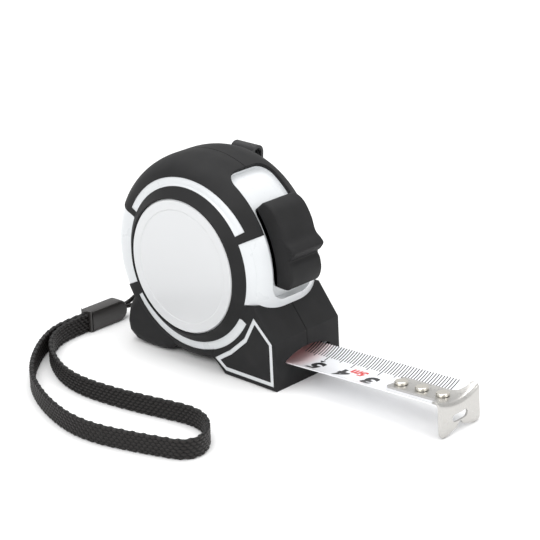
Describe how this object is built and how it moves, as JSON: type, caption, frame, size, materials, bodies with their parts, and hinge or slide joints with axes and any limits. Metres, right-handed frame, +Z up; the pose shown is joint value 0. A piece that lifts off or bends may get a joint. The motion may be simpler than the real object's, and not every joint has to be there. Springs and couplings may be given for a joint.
{
  "type": "tape_measure",
  "caption": "Round pocket tape measure on two feet, tape drawn out with its end hook, sliding thumb lock on the front, belt clip behind and a looped wrist strap.",
  "frame": {"origin": "on the surface that the case stands on, under the spool axis, at the mid-plane of the case", "axes": "+X is the way the tape leaves the case; +Y is the left side, with the belt clip, seen from behind the tape; +Z is up, against the base mount's outward normal"},
  "size_m": [0.1341, 0.091, 0.0623],
  "materials": {
    "shell_white": "glossy white ABS",
    "grip_rubber": "matte black overmoulded rubber",
    "side_disc": "plain light disc under a clear label",
    "screw_steel": "dark zinc-plated steel",
    "clip_steel": "black coated spring steel",
    "guide_plastic": "black acetal",
    "pin_steel": "bright steel",
    "post_plastic": "natural acetal",
    "drum_plastic": "natural acetal",
    "spring_steel": "blued spring steel",
    "tape_print": "off-white lacquered steel tape with black scale",
    "hook_steel": "satin nickel-plated steel",
    "rivet_steel": "bright nickel-plated steel",
    "button_plastic": "black rubber-coated plastic",
    "arm_plastic": "black acetal",
    "pad_rubber": "black brake rubber",
    "cord_black": "black braided polyester cord",
    "ferrule_plastic": "dark grey glossy plastic",
    "strap_webbing": "black woven webbing"
  },
  "bodies": {
    "root": {"left_shell": "shell_white", "right_shell": "shell_white", "left_grip": "grip_rubber", "right_grip": "grip_rubber", "left_side_disc": "side_disc", "right_side_disc": "side_disc", "case_screws": "screw_steel", "belt_clip": "clip_steel", "mouth_guide": "guide_plastic", "lanyard_pin": "pin_steel", "centre_post": "post_plastic", "lanyard_cord": "cord_black", "strap_ferrule": "ferrule_plastic", "wrist_strap": "strap_webbing"},
    "spool": {"spool_drum": "drum_plastic", "drum_cover": "drum_plastic", "power_spring": "spring_steel", "blade_coil": "tape_print"},
    "tape": {"blade": "tape_print", "blade_feed": "tape_print", "hook_rivets": "rivet_steel"},
    "end_hook": {"hook": "hook_steel"},
    "lock": {"lock_button": "button_plastic", "lock_arm": "arm_plastic", "lock_pad": "pad_rubber"}
  },
  "joints": [
    {"name": "spool_spin", "type": "hinge", "parent": "root", "child": "spool", "pos_m": [0, 0, 0.0312], "axis": [0, -1, 0], "range_deg": [-140, 0], "deforming": ["power_spring"]},
    {"name": "blade_slide", "type": "slide", "parent": "root", "child": "tape", "axis": [0.9988, 0, 0.0495], "range_m": [-0.0515, 0], "deforming": ["blade_feed"]},
    {"name": "hook_play", "type": "slide", "parent": "tape", "child": "end_hook", "axis": [0.9988, 0, 0.0495], "range_m": [0, 0.0008]},
    {"name": "lock_slide", "type": "hinge", "parent": "root", "child": "lock", "pos_m": [-0.0022, 0, 0.03095], "axis": [0, -1, 0], "range_deg": [0, 15]}
  ],
  "couplings": [
    {"joint": "blade_slide", "follows": "spool_spin", "m_per_rad": 0.021}
  ]
}
